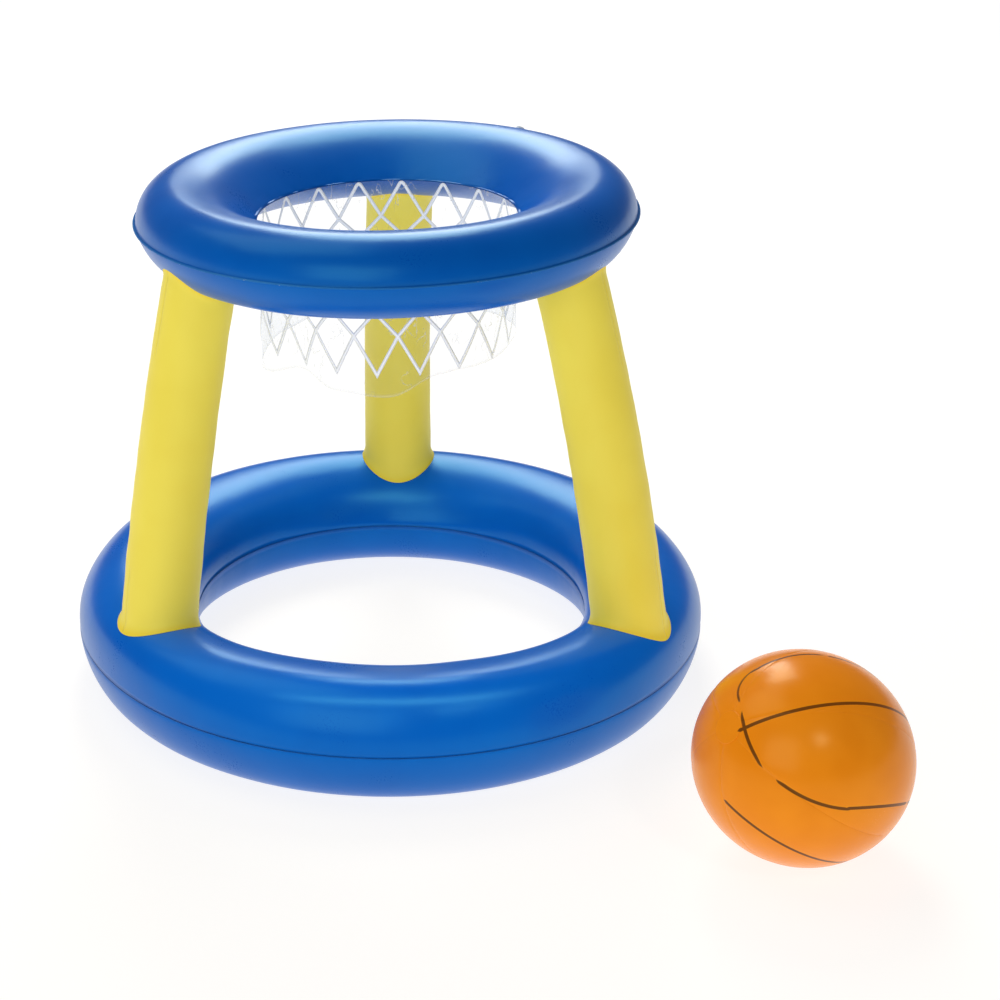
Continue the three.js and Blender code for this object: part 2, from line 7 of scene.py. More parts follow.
# %% Load the frame
import math
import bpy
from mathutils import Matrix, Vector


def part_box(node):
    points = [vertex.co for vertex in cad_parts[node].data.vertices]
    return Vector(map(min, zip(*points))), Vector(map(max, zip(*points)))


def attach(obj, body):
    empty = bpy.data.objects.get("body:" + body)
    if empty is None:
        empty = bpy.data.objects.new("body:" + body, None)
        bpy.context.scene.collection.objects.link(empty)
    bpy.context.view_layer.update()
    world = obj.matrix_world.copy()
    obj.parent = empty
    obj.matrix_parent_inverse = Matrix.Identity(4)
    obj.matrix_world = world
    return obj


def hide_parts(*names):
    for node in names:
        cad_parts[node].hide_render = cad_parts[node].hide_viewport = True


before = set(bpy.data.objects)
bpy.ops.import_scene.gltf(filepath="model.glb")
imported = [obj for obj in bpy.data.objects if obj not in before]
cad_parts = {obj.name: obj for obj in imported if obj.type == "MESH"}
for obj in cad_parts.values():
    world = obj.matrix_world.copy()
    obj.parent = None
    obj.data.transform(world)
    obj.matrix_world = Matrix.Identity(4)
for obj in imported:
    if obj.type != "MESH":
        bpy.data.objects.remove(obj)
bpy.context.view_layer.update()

from types import SimpleNamespace

import bmesh
import bpy
from mathutils import Matrix, Vector, noise

# %% [markdown]
# ## Sizes
# The places come from the frame: a sheet's box gives the ring's centre, its weld line and its outer radius.
# The section of each ring is a teardrop, fuller on one side of the crown than on the other, and it is
# written as a few radii and two shape shares. A share near 0.5 is round and a share near 1 is pointed. The
# undersides are a little more pointed outside, as the rings rest on what is below them.

# %% Sizes and places
mm = 0.001
film = 0.3 * mm
valve_names = ("base", "hoop", "ball")


def middle_of(*nodes):
    """The middle and the half size of the box round some nodes."""
    corners = [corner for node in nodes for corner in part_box(node)]
    low = Vector([min(corner[i] for corner in corners) for i in range(3)])
    high = Vector([max(corner[i] for corner in corners) for i in range(3)])
    return (low + high) / 2, (high - low) / 2


base_middle, base_half = middle_of("base_ring_upper_sheet", "base_ring_lower_sheet")
hoop_middle, hoop_half = middle_of("hoop_ring_upper_sheet", "hoop_ring_lower_sheet")
hoop_tilt, hoop_nod = math.radians(1.73), math.radians(0.79)
base_ring = SimpleNamespace(
    centre=base_middle, turn=Matrix.Identity(4), outer=base_half.x, crown=260 * mm, inner=189 * mm,
    rise=base_half.z, outer_share=0.555, inner_share=0.395, inner_drop=0.0,
    weld=0.7 * mm, pinch=1.0 * mm, pinch_reach=2.0 * mm, painted_outer_weld_highlight=False,
)
# The hoop's outer weld gets a painted highlight.
hoop_ring = SimpleNamespace(
    centre=hoop_middle, turn=Matrix.Rotation(-hoop_nod, 4, "X") @ Matrix.Rotation(-hoop_tilt, 4, "Y"),
    outer=hoop_half.y, crown=194 * mm, inner=120 * mm, rise=36.6 * mm, outer_share=0.54, inner_share=1.0,
    inner_drop=3.8 * mm, weld=2.4 * mm, pinch=0.0, pinch_reach=1 * mm, painted_outer_weld_highlight=True,
)
base_underside = SimpleNamespace(**{**vars(base_ring), "outer_share": 0.63})
hoop_underside = SimpleNamespace(**{**vars(hoop_ring), "crown": 198 * mm, "outer_share": 0.74})
for name, ring in (("base", base_ring), ("hoop", hoop_ring)):
    print(name, "ring centre", [round(c, 4) for c in ring.centre], "outer radius", round(ring.outer, 4))

# %% [markdown]
# ## Shader sums
# A finish is easier to read when it is written as sums. This small class wraps a socket, so that
# `mask * 0.5 + 1` adds the Math nodes that it needs.


# %% A socket that adds up
class Shade:
    """An output socket in a material's node tree, used in sums like a number."""

    def __init__(self, tree, socket):
        self.tree = tree
        self.socket = socket

    def maths(self, operation, *others):
        return add_node(self.tree, "ShaderNodeMath", {"operation": operation}, [self, *others])

    def __add__(self, other):
        return self.maths("ADD", other)

    def __sub__(self, other):
        return self.maths("SUBTRACT", other)

    def __rsub__(self, other):
        return add_node(self.tree, "ShaderNodeMath", {"operation": "SUBTRACT"}, [other, self])

    def __mul__(self, other):
        return self.maths("MULTIPLY", other)

    __radd__ = __add__
    __rmul__ = __mul__

    def vector(self, operation, other, output=0):
        return add_node(self.tree, "ShaderNodeVectorMath", {"operation": operation}, [self, other], output)

    def smooth(self, low, high):
        """0 at low, 1 at high, with a smooth step between them."""
        settings = {"interpolation_type": "SMOOTHSTEP"}
        values = {"Value": self, "From Min": low, "From Max": high}
        return add_node(self.tree, "ShaderNodeMapRange", settings, values)

    def mix(self, low, high):
        """A colour that is low where this is 0 and high where it is 1."""
        settings = {"data_type": "RGBA"}
        return add_node(self.tree, "ShaderNodeMix", settings, {0: self, 6: low, 7: high}, 2)


def add_node(tree, kind, settings, values, output=0):
    """Adds a node, sets its settings and then its inputs, and wraps one output."""
    node = tree.nodes.new(kind)
    for key, value in settings.items():
        setattr(node, key, value)
    pairs = values.items() if isinstance(values, dict) else enumerate(values)
    for key, value in pairs:
        if isinstance(value, Shade):
            tree.links.new(value.socket, node.inputs[key])
        else:
            node.inputs[key].default_value = value
    return Shade(tree, node.outputs[output])


def new_material(name):
    """A material with a Principled surface, its tree, and its Object coordinates."""
    material = bpy.data.materials.new(name)
    material.use_nodes = True
    tree = material.node_tree
    surface = tree.nodes["Principled BSDF"]
    place = add_node(tree, "ShaderNodeTexCoord", {}, [], 3)
    return material, tree, surface, place


def cloud(place, size, detail=2.0, stretch=(1, 1, 1)):
    """Noise from 0 to 1 with patches of about that size."""
    placed = place.vector("MULTIPLY", [share / size for share in stretch])
    values = {"Vector": placed, "Scale": 1.0, "Detail": detail, "Roughness": 0.5}
    return add_node(place.tree, "ShaderNodeTexNoise", {}, values)


def bump(height, strength, distance):
    values = {"Height": height, "Strength": strength, "Distance": distance}
    return add_node(height.tree, "ShaderNodeBump", {}, values)


def plug_in(surface, **values):
    """Sets or links the inputs of a surface by name, with _ for a space."""
    for key, value in values.items():
        socket = surface.inputs[key.replace("_", " ")]
        if isinstance(value, Shade):
            value.tree.links.new(value.socket, socket)
        else:
            socket.default_value = value


# %% [markdown]
# ## Vinyl
# Thin vinyl lets some light through it, which lifts its shaded side. Here that is a painted glow: each finish
# has a faint emission of its own colour. Blown-up vinyl is smooth and glossy, but never perfect: the colour
# is a little deeper where the film is thick, the gloss has a faint orange peel, and long soft ripples run
# through every reflection. Two attributes that the modelling steps store on each mesh mark the welds: `weld`
# where the film is pinched and darker, and `ridge` along the hoop's outer edge, where the pressed film gets a
# painted
# highlight: a pale line with tiny white specks painted on it as glints.


# %% Vinyl finishes
def vinyl(name, colour, deep, roughness, gloss, weld_colour, glow, tint=(1, 1, 1, 1)):
    material, tree, surface, place = new_material(name)
    patches = cloud(place, 60 * mm)
    peel = cloud(place, 1.6 * mm, 1.0)
    ripple = cloud(place, 26 * mm, 2.0)
    weld = add_node(tree, "ShaderNodeAttribute", {"attribute_name": "weld"}, [], 2)
    ridge = add_node(tree, "ShaderNodeAttribute", {"attribute_name": "ridge"}, [], 2)
    body = patches.smooth(0.3, 0.7).mix(deep, colour)
    pinched = (weld.smooth(0.2, 0.9) * 0.8).mix(body, weld_colour)
    # Painted highlight: the pale line along the hoop's outer weld, with tiny pale specks on it as painted
    # glints.
    ridge_highlit = (ridge.smooth(0.2, 0.8) * 0.8).mix(pinched, ridge_highlight_blue)
    ridge_glints = ridge.smooth(0.5, 0.8) * cloud(place, 1.4 * mm, 1.0).smooth(0.70, 0.76)
    plug_in(
        surface,
        Base_Color=(ridge_glints * patches.smooth(0.5, 0.6)).mix(ridge_highlit, (0.7, 0.85, 0.95, 1)),
        Roughness=patches * 0.06 + roughness + weld * 0.08 + peel * 0.04,
        Specular_IOR_Level=gloss,
        Specular_Tint=tint,
        # Emission: a painted glow of the finish's own colour, which lifts its shaded side.
        Emission_Color=colour,
        Emission_Strength=glow,
        Normal=bump(ripple + peel * 0.02, 0.25, 0.8 * mm),
    )
    return material


blue, deep_blue, weld_blue = (0.0002, 0.112, 0.52, 1), (0.0002, 0.10, 0.49, 1), (0.0002, 0.05, 0.30, 1)
# The pale blue of the hoop's outer weld is a painted highlight.
ridge_highlight_blue = (0.03, 0.22, 0.62, 1)
yellow, deep_yellow, weld_yellow = (0.86, 0.72, 0.085, 1), (0.83, 0.68, 0.07, 1), (0.86, 0.62, 0.02, 1)
blue_vinyl = vinyl("blue_vinyl", blue, deep_blue, 0.24, 0.42, weld_blue, 0.04, (0.2, 1, 1, 1))
yellow_vinyl = vinyl("yellow_vinyl", yellow, deep_yellow, 0.42, 0.3, weld_yellow, 0.22)
print("vinyl finishes", blue_vinyl.name, yellow_vinyl.name)

# %% [markdown]
# ## Turning a bmesh into a piece
# Every piece ends the same way: its mesh gets a name and a finish, it rides on the body that carries it,
# and it stands for the coarse solid of the frame. A smooth shade hides the last facets.


# %% Finish a piece
def finish_piece(bm, name, material, body, replaced, wall=0.0):
    """Makes an object of a bmesh. wall is the film's thickness, given inwards."""
    bmesh.ops.remove_doubles(bm, verts=bm.verts, dist=1e-6)
    bmesh.ops.recalc_face_normals(bm, faces=bm.faces)
    mesh = bpy.data.meshes.new(name)
    bm.to_mesh(mesh)
    bm.free()
    for polygon in mesh.polygons:
        polygon.use_smooth = True
    piece = bpy.data.objects.new(name, mesh)
    bpy.context.scene.collection.objects.link(piece)
    mesh.materials.append(material)
    if wall > 0:
        solidify = piece.modifiers.new("film", "SOLIDIFY")
        solidify.thickness = wall
        solidify.offset = -1
    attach(piece, body)
    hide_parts(*replaced)
    print(name, len(mesh.polygons), "faces")
    return piece


def spun(points, steps):
    """A bmesh of a line of (radius, height) points spun round Z."""
    bm = bmesh.new()
    verts = [bm.verts.new((radius, 0, height)) for radius, height in points]
    edges = [bm.edges.new(pair) for pair in zip(verts, verts[1:])]
    geometry = verts + edges
    bmesh.ops.spin(bm, geom=geometry, cent=(0, 0, 0), axis=(0, 0, 1), angle=math.tau, steps=steps,
                   use_merge=True)
    return bm


def bent_grid(columns, rows, place):
    """A bmesh grid whose points are put where place(across, along) says, both from 0 to 1."""
    bm = bmesh.new()
    bmesh.ops.create_grid(bm, x_segments=columns, y_segments=rows, size=0.5)
    for vert in bm.verts:
        vert.co = place(vert.co.x + 0.5, vert.co.y + 0.5)
    return bm


# %% [markdown]
# ## Ring sheets
# Each ring is two flat annular sheets welded at both edges. Blown up, a sheet rises to its crown and comes
# down again, so one profile spun round the axis makes it. The film is too long for the shorter inner edge,
# and gathers there in small puckers that fade a few centimetres from the weld. Where a leg stands, its tube
# pulls the base's film up towards the outer weld, so the section is fuller outside there.


# %% The section of a ring
foot_azimuths = {"rear_leg": 90.7, "front_left_leg": 213.9, "front_right_leg": 331.0}
foot_shares = {"rear_leg": (0.60, 0.75), "front_left_leg": (0.25, 0.70), "front_right_leg": (0.27, 0.75)}
foot_pull_reach = 46
ring_steps = 288
fine_pucker, fine_fade = 7 * mm, 9 * mm
broad_pucker, broad_fade = 21 * mm, 22 * mm
outer_gather, inner_gather = 0.16 * mm, 0.42 * mm
sheet_shift = 0.37
slack_size, slack_depth, slack_start = 70 * mm, 0.25 * mm, 3 * mm
ridge_fade, weld_fade = 2.4 * mm, 1.6 * mm
calm_near_floor = 6 * mm


def section_shares(ring, azimuth):
    """The two shape shares of a section: the ring's own, or nearer a foot's where it pulls on the film."""
    outer, inner = ring.outer_share, ring.inner_share
    if azimuth is None:
        return outer, inner
    for name, degrees in foot_azimuths.items():
        gap = abs((math.degrees(azimuth) - degrees + 180) % 360 - 180) / foot_pull_reach
        pull = max(0.0, 1 - gap ** 2) ** 2
        outer += (foot_shares[name][0] - ring.outer_share) * pull
        inner += (foot_shares[name][1] - ring.inner_share) * pull
    return outer, inner


def ring_rise(ring, radius, flat=0.0, azimuth=None):
    """Height of a sheet's outside above the weld at a radius, with a flat of that half width on the crown."""
    outside = radius > ring.crown
    reach = ring.outer - ring.weld - ring.crown if outside else ring.crown - ring.inner - ring.weld
    outer_share, inner_share = section_shares(ring, azimuth)
    away = min(1.0, max(0.0, abs(radius - ring.crown) - flat) / (reach - flat))
    return film + (ring.rise - film) * (1 - away * away) ** (outer_share if outside else inner_share)


def weld_drop(ring, radius):
    """How far the inner weld, and the film towards it, lie below the outer weld's level."""
    share = min(1.0, max(0.0, (ring.crown - radius) / (ring.crown - ring.inner)))
    return ring.inner_drop * share * share * (3 - 2 * share)


def ring_profile(ring, flat, steps=34):
    """Points from the outer weld over the crown to the inner weld, closest together near the welds."""
    points = [(ring.outer, film)]
    for sign, reach in ((1, ring.outer - ring.weld - ring.crown), (-1, ring.crown - ring.inner - ring.weld)):
        shares = [math.sin(math.pi / 2 * i / steps) for i in range(steps + 1)]
        stretch = [(ring.crown + sign * reach * share) for share in shares]
        heights = [ring_rise(ring, radius, flat) for radius in stretch]
        half = list(zip(stretch, heights))
        points += half[::-1] if sign > 0 else half[1:]
    points.append((ring.inner, film))
    return points


def weld_distance(ring, radius, height):
    """How far a point of the sheet is from the nearer weld, and whether that is the outer one."""
    to_outer = math.hypot(ring.outer - radius, height)
    to_inner = math.hypot(radius - ring.inner, height)
    return min(to_outer, to_inner), to_outer < to_inner


def ring_sheet(ring, name, side, flat=0.0):
    """One sheet: side 1 is the upper one and side -1 the lower one."""
    bm = spun(ring_profile(ring, flat), ring_steps)
    weld = bm.verts.layers.float.new("weld")
    ridge = bm.verts.layers.float.new("ridge")
    pulled = ring is base_ring and side > 0
    for vert in bm.verts if pulled else []:
        radius = math.hypot(vert.co.x, vert.co.y)
        if ring.inner + ring.weld < radius < ring.outer - ring.weld:
            vert.co.z = ring_rise(ring, radius, flat, math.atan2(vert.co.y, vert.co.x))
    bm.normal_update()
    for vert in bm.verts:
        azimuth = math.atan2(vert.co.y, vert.co.x)
        radius = math.hypot(vert.co.x, vert.co.y)
        distance, outer = weld_distance(ring, radius, vert.co.z)
        around = Vector((math.cos(azimuth), math.sin(azimuth), side * sheet_shift)) * radius
        fine = noise.noise(around / fine_pucker) * math.exp(-distance / fine_fade)
        broad = noise.noise(around / broad_pucker) * math.exp(-distance / broad_fade)
        gather = outer_gather if outer else inner_gather
        slack = noise.noise(vert.co / slack_size) * slack_depth if distance > slack_start else 0
        pinch = ring.pinch * math.exp(-abs(vert.co.z - film) / ring.pinch_reach)
        on_flange = vert.co.z <= film * 1.01
        outward = Vector((vert.co.x, vert.co.y, 0)).normalized()
        depth = 0 if on_flange else gather * (fine + broad) + slack
        swell = vert.normal.normalized() * depth
        if swell.dot(Vector((0, 0, 1))) > 0 and flat > 0:
            swell *= min(1.0, (ring.rise - vert.co.z) / calm_near_floor)
        vert.co += swell - outward * pinch * (1 if outer else -1)
        on_ridge = outer and ring.painted_outer_weld_highlight
        vert[ridge if on_ridge else weld] = math.exp(-distance / (ridge_fade if on_ridge else weld_fade))
    bm.transform(Matrix.Scale(side, 4, Vector((0, 0, 1))))
    for vert in bm.verts:
        vert.co.z -= weld_drop(ring, math.hypot(vert.co.x, vert.co.y))
    bm.transform(Matrix.Translation(ring.centre) @ ring.turn)
    return finish_piece(bm, name, blue_vinyl, "hoop_frame", [name + "_sheet"], film)


# %% Make the four sheets
contact_flat = 8 * mm
ring_sheet(base_ring, "base_ring_upper", 1)
ring_sheet(base_underside, "base_ring_lower", -1, contact_flat)
ring_sheet(hoop_ring, "hoop_ring_upper", 1)
ring_sheet(hoop_underside, "hoop_ring_lower", -1)

# %% [markdown]
# ## Legs
# A leg is a tapered tube of film whose two ends are welded flat onto the rings. It leans in towards the hoop
# and bows out a little. Its ends are cut to the curve of the ring they meet, and the last centimetre flares
# into a welded collar. Each point of an end is found by sliding along the leg until it touches the ring.

# %% Leg sizes
tube_foot_radius, tube_head_radius = 35 * mm, 32.7 * mm
leg_foot_radius = 252 * mm
leg_head_radius = 190.5 * mm
leg_bow = 4.9 * mm
foot_flare, foot_flare_height = 3.4 * mm, 12 * mm
head_flare, head_flare_height = 1.6 * mm, 8 * mm
leg_azimuths = {"rear_leg": 90.7, "front_left_leg": 213.9, "front_right_leg": 333}
foot_shifts = {"front_right_leg": Vector((0.5, -9, 0)) * mm}
head_shifts = {"rear_leg": 7 * mm, "front_left_leg": -4 * mm, "front_right_leg": -2 * mm}
ripple_gap = 0.4 * mm
slope_step = 0.5 * mm
leg_slack, slack_waves, slack_scale = 0.5 * mm, 9, 1.6
leg_gather, gather_waves, gather_length, leg_gather_fade = 0.35 * mm, 5.5, 30 * mm, 16 * mm
end_fade = 4 * mm
leg_weld_fade = 4.5 * mm
foot_height = base_ring.centre.z + base_ring.rise
head_height = hoop_ring.centre.z - hoop_ring.rise
head_shift = hoop_ring.centre.x - base_ring.centre.x


def leg_point(name, turn, share, swell):
    """A point round a leg: share 0 is at the base ring's crown and 1 at the hoop's underside."""
    azimuth = math.radians(leg_azimuths[name])
    outward = Vector((math.cos(azimuth), math.sin(azimuth), 0))
    up = Vector((0, 0, 1))
    rise = head_height - foot_height
    lean = leg_head_radius - leg_foot_radius
    reach = leg_foot_radius + lean * share + 4 * leg_bow * share * (1 - share)
    slope = lean + 4 * leg_bow * (1 - 2 * share)
    along = (outward * slope + up * rise).normalized()
    side = up.cross(outward)
    front = side.cross(along)
    radius = tube_foot_radius + (tube_head_radius - tube_foot_radius) * share + swell
    axis_x = base_ring.centre.x + head_shift * share + head_shifts[name] * share * abs(share)
    axis = Vector((axis_x, base_ring.centre.y, foot_height + rise * share))
    axis += foot_shifts.get(name, Vector()) * (1 - share)
    return axis + outward * reach + front * radius * math.cos(turn) + side * radius * math.sin(turn)


def above_base(point):
    """Height above the base's film, less a small gap that keeps a foot's edge clear of its ripples."""
    local = point - base_ring.centre
    azimuth, radius = math.atan2(local.y, local.x), math.hypot(local.x, local.y)
    height = ring_rise(base_ring, radius, azimuth=azimuth)
    slope = (height - ring_rise(base_ring, radius + slope_step, azimuth=azimuth)) / slope_step
    return local.z - height - ripple_gap * math.hypot(1, slope)


def below_hoop(point):
    """Depth below the hoop's underside, in the hoop's own tilted frame."""
    local = hoop_ring.turn.inverted().to_3x3() @ (point - hoop_ring.centre)
    radius = math.hypot(local.x, local.y)
    return -local.z - weld_drop(hoop_ring, radius) - ring_rise(hoop_underside, radius)


def touching_share(name, turn, swell, clearance, low, high, rising):
    """Halves the stretch between two shares until the point there touches the ring."""
    for _ in range(30):
        middle = (low + high) / 2
        if (clearance(leg_point(name, turn, middle, swell)) > 0) == rising:
            high = middle
        else:
            low = middle
    return (low + high) / 2


# %% Make the legs
def leg(name, columns=96, rows=90):
    azimuth = math.radians(leg_azimuths[name])
    rise = head_height - foot_height
    ends = {}
    for i in range(columns + 1):
        turn = math.tau * i / columns
        foot = touching_share(name, turn, foot_flare, above_base, -0.5, 0.5, True)
        head = touching_share(name, turn, head_flare, below_hoop, 0.5, 1.5, False)
        ends[i] = (foot, head)

    def place(across, along):
        i = round(across * columns)
        turn = math.tau * i / columns
        foot, head = ends[i]
        eased = (1 - math.cos(math.pi * along)) / 2
        share = foot + (head - foot) * eased
        over_foot = (share - foot) * rise
        under_head = (head - share) * rise
        near_foot = max(0.0, 1 - over_foot / foot_flare_height)
        near_head = max(0.0, 1 - under_head / head_flare_height)
        swell = foot_flare * near_foot ** 2 + head_flare * near_head ** 2
        around = Vector((math.cos(turn), math.sin(turn), share * slack_waves)) * slack_scale
        slack = noise.noise(around + Vector((azimuth, 0, 0))) * leg_slack
        gather = noise.noise(Vector((turn * gather_waves, azimuth, over_foot / gather_length))) * leg_gather
        fade = min(1.0, over_foot / end_fade) * min(1.0, under_head / end_fade)
        swell += fade * (slack + gather * math.exp(-min(over_foot, under_head) / leg_gather_fade))
        return leg_point(name, turn, share, swell)

    bm = bent_grid(columns, rows, place)
    weld = bm.verts.layers.float.new("weld")
    for vert in bm.verts:
        foot_gap = above_base(vert.co)
        head_gap = below_hoop(vert.co)
        vert[weld] = math.exp(-max(0.0, min(foot_gap, head_gap)) / leg_weld_fade)
    return finish_piece(bm, name + "_tube", yellow_vinyl, "hoop_frame", [name], film)


for name in leg_azimuths:
    leg(name)

# %% [markdown]
# ## Clear film and the net's print
# The net isn't knotted cord. It is a skirt of clear film, welded in between the hoop's two sheets, with a
# white lattice printed on it. The film hangs, draws in a little and waves at its free edge. Clear film tints
# what is behind it and shows by its gloss: a Transparent shader gives the tint, and a Mix Shader brings in a
# glossy surface where the film is seen edge on. Thin crinkle lines and the free edge are painted pale as
# highlights, and the Mix Shader brings the pale surface in there too.

# %% The skirt's shape
skirt_top = hoop_ring.inner - 0.5 * mm
skirt_length = 120 * mm
skirt_bottom_radius = 116.5 * mm
skirt_sway = 6.0 * mm
skirt_wave, wave_count = 1.8 * mm, 7
skirt_crease, crease_stretch, crease_scale = 0.8 * mm, 6, 5
skirt_columns, skirt_rows = 288, 40
edge_glint = 0.8 * mm
edge_below_print = 3.6 * mm
left_fold, left_fold_azimuth, left_fold_reach = 11.5 * mm, math.radians(185.8), math.radians(45)
left_fold_middle, left_fold_waves = math.radians(20), 4.5
strand_count = 18
net_turn = math.radians(85.8)
row_depths = [depth * mm for depth in (0, 35.5, 56, 79.2, 116.2)]
edge_depths = ((20, 118), (60, 124), (110, 122), (150, 130), (194, 139), (223, 124), (244, 136), (270, 138),
               (297, 121), (317, 116), (338, 114), (380, 118))


def skirt_depth(azimuth):
    """How far the film hangs below the weld, eased from one measured place of its wavy edge to the next."""
    degrees = math.degrees(azimuth) % 360
    degrees += 360 if degrees < edge_depths[0][0] else 0
    for (start, before), (end, after) in zip(edge_depths, edge_depths[1:]):
        if degrees <= end:
            eased = (1 - math.cos(math.pi * (degrees - start) / (end - start))) / 2
            break
    return max((before + (after - before) * eased) * mm, row_depths[-1] + edge_below_print)


def skirt_radius(azimuth, depth):
    """The film's radius round the hoop's axis, with its sway, its waves and the fold on the left."""
    share = max(0.0, depth / skirt_length)
    drawn_in = (skirt_top - skirt_bottom_radius) * share
    sway = skirt_sway * math.sin(azimuth) * share
    wave = skirt_wave * share ** 2 * math.sin(wave_count * azimuth)
    around = Vector((math.cos(azimuth), math.sin(azimuth), depth * crease_stretch)) * crease_scale
    crease = skirt_crease * share * noise.noise(around)
    from_fold = azimuth % math.tau - left_fold_azimuth
    window = max(0.0, 1 - ((from_fold - left_fold_middle) / left_fold_reach) ** 2) ** 2
    fold = left_fold * share * window * math.cos(left_fold_waves * from_fold)
    return skirt_top - drawn_in + sway + wave + crease + fold


def in_hoop(azimuth, radius, depth):
    """A point round the hoop's axis, below its inner weld, in the frame."""
    local = Vector((radius * math.cos(azimuth), radius * math.sin(azimuth), -depth - hoop_ring.inner_drop))
    return hoop_ring.centre + hoop_ring.turn.to_3x3() @ local


# %% Clear film finish
def clear_film():
    material, tree, surface, place = new_material("clear_vinyl")
    edge_on = add_node(tree, "ShaderNodeLayerWeight", {}, {"Blend": 0.25}, 1)
    free_edge = add_node(tree, "ShaderNodeAttribute", {"attribute_name": "free_edge"}, [], 2)
    haze = cloud(place, 34 * mm, 2.0)
    crinkle = cloud(place, 15 * mm, 3.0, (1, 1, 0.45))
    # Painted highlights: thin crinkle lines and the free edge are painted pale, and are shown more strongly
    # in the mix.
    painted_crinkle_highlights = (crinkle - 0.5).maths("ABSOLUTE").smooth(0.014, 0.0) * haze.smooth(0.45, 0.60)
    plug_in(
        surface,
        Base_Color=(painted_crinkle_highlights + free_edge).mix((0.72, 0.79, 0.88, 1), (0.97, 0.98, 1.0, 1)),
        Roughness=haze * 0.08 + 0.12,
        Specular_IOR_Level=0.6,
        Normal=bump(crinkle, 0.5, 1.5 * mm),
    )
    clear = tree.nodes.new("ShaderNodeBsdfTransparent")
    clear.inputs["Color"].default_value = (0.94, 0.955, 0.98, 1)
    shown = edge_on * 0.12 + haze * 0.03 + painted_crinkle_highlights * 0.45 + free_edge * 0.25 + 0.02
    blend = add_node(tree, "ShaderNodeMixShader", {}, {0: shown})
    tree.links.new(clear.outputs[0], blend.socket.node.inputs[1])
    tree.links.new(surface.outputs[0], blend.socket.node.inputs[2])
    tree.links.new(blend.socket, tree.nodes["Material Output"].inputs["Surface"])
    return material


clear_vinyl = clear_film()


# %% Make the skirt
def skirt_place(across, along):
    azimuth = math.tau * across
    depth = along * skirt_depth(azimuth)
    return in_hoop(azimuth, skirt_radius(azimuth, depth), depth)


bm = bent_grid(skirt_columns, skirt_rows, skirt_place)
free_edge = bm.verts.layers.float.new("free_edge")
for vert in bm.verts:
    local = hoop_ring.turn.inverted().to_3x3() @ (vert.co - hoop_ring.centre)
    to_edge = skirt_depth(math.atan2(local.y, local.x)) + local.z + hoop_ring.inner_drop
    vert[free_edge] = math.exp(-to_edge / edge_glint)
skirt = finish_piece(bm, "net_film", clear_vinyl, "hoop_frame", ["net_skirt"])

# %% [markdown]
# ## The lattice
# The lattice is made as its cells: three rows of diamonds round a cylinder. The wireframe operator turns the
# edges of the cells into strands of one width with clean crossings. The points of the top row are rounded
# first, as the print shows loops there. Then the strands are pressed flat onto the film.

# %% White ink
strand_width = 3.4 * mm
loop_rounding = 4.5 * mm
longest_edge = 8 * mm


def white_ink():
    material, tree, surface, place = new_material("white_ink")
    grain = cloud(place, 1.2 * mm, 2.0)
    patches = cloud(place, 14 * mm)
    plug_in(
        surface,
        Base_Color=patches.mix((0.78, 0.81, 0.85, 1), (0.90, 0.91, 0.94, 1)),
        Roughness=grain * 0.15 + 0.40,
        # Emission: a painted glow that keeps the white strands bright where they are weakly lit.
        Emission_Color=(0.90, 0.93, 0.96, 1),
        Emission_Strength=0.28,
        Normal=bump(grain, 0.15, 0.1 * mm),
    )
    return material


ink = white_ink()


# %% Make the lattice
def knot(column, row):
    azimuth = net_turn + math.pi * column / strand_count
    return Vector((skirt_top * math.cos(azimuth), skirt_top * math.sin(azimuth), -row_depths[row]))


bm = bmesh.new()
knots = {}
for column in range(2 * strand_count):
    for row in range(len(row_depths)):
        if column % 2 == row % 2:
            knots[column, row] = bm.verts.new(knot(column, row))
for (column, row), top in knots.items():
    if row + 2 < len(row_depths):
        right = knots[(column + 1) % (2 * strand_count), row + 1]
        left = knots[(column - 1) % (2 * strand_count), row + 1]
        bm.faces.new((top, left, knots[column, row + 2], right))
tops = [vert for vert in bm.verts if vert.co.z > -row_depths[0] - 1e-5]
bmesh.ops.bevel(bm, geom=tops, affect="VERTICES", offset=loop_rounding, segments=5, profile=0.5, material=-1)
bmesh.ops.recalc_face_normals(bm, faces=bm.faces)
bmesh.ops.wireframe(bm, faces=bm.faces, thickness=strand_width, offset=0.0, use_replace=True,
                    use_boundary=True, use_even_offset=True)
outer_side = bm.verts.layers.float.new("outer_side")
for vert in bm.verts:
    across = math.pi / strand_count
    nearest = round((math.atan2(vert.co.y, vert.co.x) - net_turn) / across) * across + net_turn
    out_there = vert.co.x * math.cos(nearest) + vert.co.y * math.sin(nearest)
    vert[outer_side] = 0.5 if out_there > skirt_top * math.cos(across / 2) ** 2 else -0.5
long_edges = [edge for edge in bm.edges if edge.calc_length() > longest_edge]
bmesh.ops.subdivide_edges(bm, edges=long_edges, cuts=7)
print("lattice faces", len(bm.faces))
ink_lift, ink_thickness = 0.25 * mm, 0.2 * mm
for vert in bm.verts:
    azimuth = math.atan2(vert.co.y, vert.co.x)
    depth = -vert.co.z
    radius = skirt_radius(azimuth, depth) + ink_lift + ink_thickness * vert[outer_side]
    vert.co = in_hoop(azimuth, radius, depth)
finish_piece(bm, "net_print", ink, "hoop_frame", ["net_lattice"])

# %% [markdown]
# ## The ball
# The ball is six gores of orange film welded pole to pole, a little longer along its poles than across them.
# Each gore is a grid bent onto the ball, drawn in slightly at its two welds. The dark lines are printed on
# the gores before they are welded, so on the real ball they break off a little at each weld; here they run
# on across the welds.

